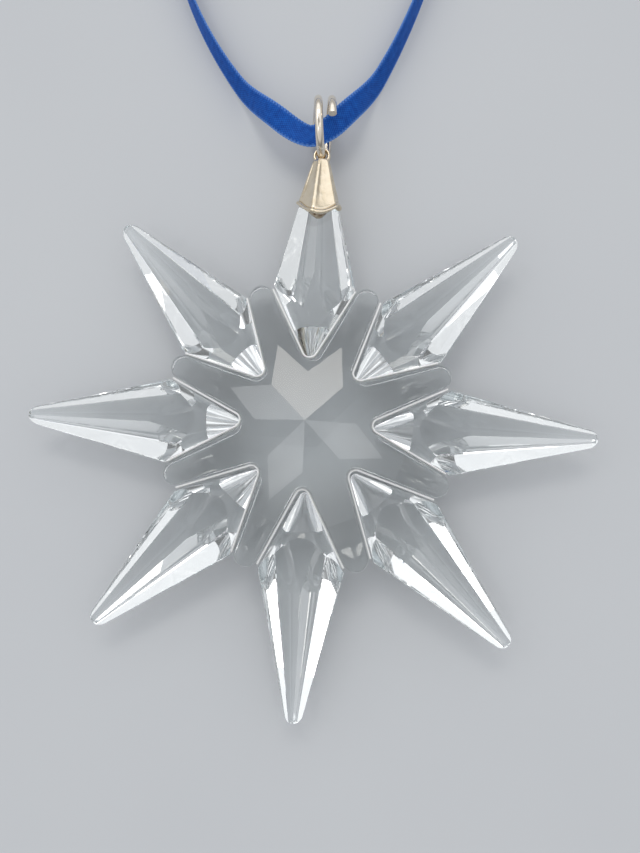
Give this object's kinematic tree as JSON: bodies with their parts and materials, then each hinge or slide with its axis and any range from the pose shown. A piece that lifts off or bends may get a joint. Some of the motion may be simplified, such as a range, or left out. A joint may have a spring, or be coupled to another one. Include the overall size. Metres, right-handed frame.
{
  "type": "crystal star ornament",
  "caption": "Faceted clear crystal star with kite-shaped points round a peaked centre, a metal cap and ring on the upper point and a blue ribbon loop to hang it by.",
  "frame": {"origin": "middle of the flat back of the centre star, on the table that it lies on", "axes": "+X to the right of the upright star, +Y from the centre to the upper point and its ring, +Z out of the star's front"},
  "size_m": [0.046, 0.1168, 0.0077],
  "materials": {
    "clear_crystal": "cut and polished, clear and colourless",
    "silver_metal": "polished silver plate",
    "blue_ribbon": "satin weave, royal blue"
  },
  "bodies": {
    "star": {"centre_star": "clear_crystal", "point_1": "clear_crystal", "point_2": "clear_crystal", "point_3": "clear_crystal", "point_4": "clear_crystal", "point_5": "clear_crystal", "point_6": "clear_crystal", "point_7": "clear_crystal", "point_8": "clear_crystal", "cap": "silver_metal"},
    "ring": {"split_ring": "silver_metal", "ribbon": "blue_ribbon", "ribbon_knot": "blue_ribbon"}
  },
  "joints": [
    {"name": "ring_swing", "type": "hinge", "parent": "star", "child": "ring", "pos_m": [0, 0.02305, 0.0032], "axis": [0, 0, 1], "range_deg": [-45, 45]}
  ]
}
